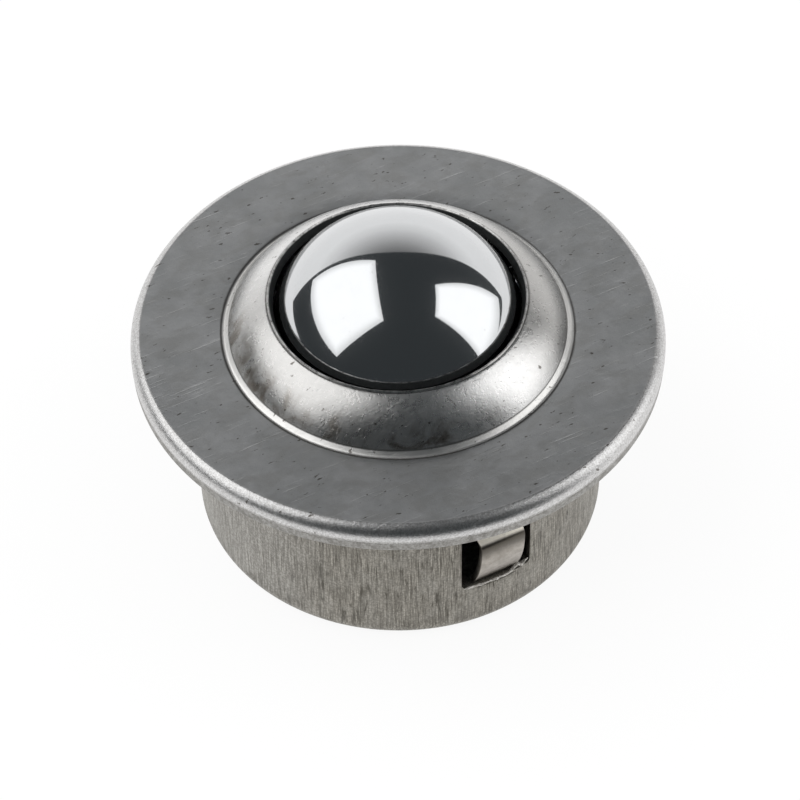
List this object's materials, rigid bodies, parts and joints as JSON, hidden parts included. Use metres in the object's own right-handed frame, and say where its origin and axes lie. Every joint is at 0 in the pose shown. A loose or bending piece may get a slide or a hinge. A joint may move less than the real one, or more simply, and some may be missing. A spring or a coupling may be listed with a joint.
{
  "type": "ball transfer unit",
  "caption": "Ball transfer unit: polished load ball on a bed of small balls in a pressed steel cup, with a domed round flange and spring lugs that snap into a round hole.",
  "frame": {"origin": "on the unit's axis, in the plane of the underside of the body's flange, which rests on the face around the hole", "axes": "+Z along the axis of symmetry, out of the cup towards the load; the first spring lug faces -Y"},
  "size_m": [0.031, 0.031, 0.0206],
  "materials": {
    "body_steel": "drawn sheet steel with dull plating, handling marks and streaks",
    "cap_steel": "pressed sheet steel with satin plating, fine scratches",
    "pan_steel": "hardened pressed steel, plain",
    "spring_steel": "bright spring steel strip",
    "load_ball_steel": "hardened steel, mirror polished",
    "support_ball_steel": "hardened steel, polished"
  },
  "bodies": {
    "housing": {"body": "body_steel", "cap": "cap_steel", "pan": "pan_steel", "spring_clip": "spring_steel"},
    "support_bed": {"support_ball_01": "support_ball_steel", "support_ball_02": "support_ball_steel", "support_ball_03": "support_ball_steel", "support_ball_04": "support_ball_steel", "support_ball_05": "support_ball_steel", "support_ball_06": "support_ball_steel", "support_ball_07": "support_ball_steel", "support_ball_08": "support_ball_steel", "support_ball_09": "support_ball_steel", "support_ball_10": "support_ball_steel", "support_ball_11": "support_ball_steel", "support_ball_12": "support_ball_steel", "support_ball_13": "support_ball_steel", "support_ball_14": "support_ball_steel", "support_ball_15": "support_ball_steel", "support_ball_16": "support_ball_steel", "support_ball_17": "support_ball_steel", "support_ball_18": "support_ball_steel", "support_ball_19": "support_ball_steel", "support_ball_20": "support_ball_steel", "support_ball_21": "support_ball_steel", "support_ball_22": "support_ball_steel", "support_ball_23": "support_ball_steel", "support_ball_24": "support_ball_steel", "support_ball_25": "support_ball_steel", "support_ball_26": "support_ball_steel", "support_ball_27": "support_ball_steel", "support_ball_28": "support_ball_steel", "support_ball_29": "support_ball_steel", "support_ball_30": "support_ball_steel", "support_ball_31": "support_ball_steel", "support_ball_32": "support_ball_steel", "support_ball_33": "support_ball_steel", "support_ball_34": "support_ball_steel", "support_ball_35": "support_ball_steel", "support_ball_36": "support_ball_steel", "support_ball_37": "support_ball_steel", "support_ball_38": "support_ball_steel", "support_ball_39": "support_ball_steel", "support_ball_40": "support_ball_steel", "support_ball_41": "support_ball_steel", "support_ball_42": "support_ball_steel", "support_ball_43": "support_ball_steel", "support_ball_44": "support_ball_steel", "support_ball_45": "support_ball_steel", "support_ball_46": "support_ball_steel", "support_ball_47": "support_ball_steel", "support_ball_48": "support_ball_steel", "support_ball_49": "support_ball_steel", "support_ball_50": "support_ball_steel", "support_ball_51": "support_ball_steel", "support_ball_52": "support_ball_steel"},
    "load_ball": {"load_ball": "load_ball_steel"}
  },
  "joints": [
    {"name": "support_orbit", "type": "hinge", "parent": "housing", "child": "support_bed", "pos_m": [0, 0, 0.001], "axis": [0, 0, 1], "continuous": true},
    {"name": "load_ball_roll", "type": "hinge", "parent": "support_bed", "child": "load_ball", "pos_m": [0, 0, 0.001], "axis": [1, 0, 0], "continuous": true}
  ]
}
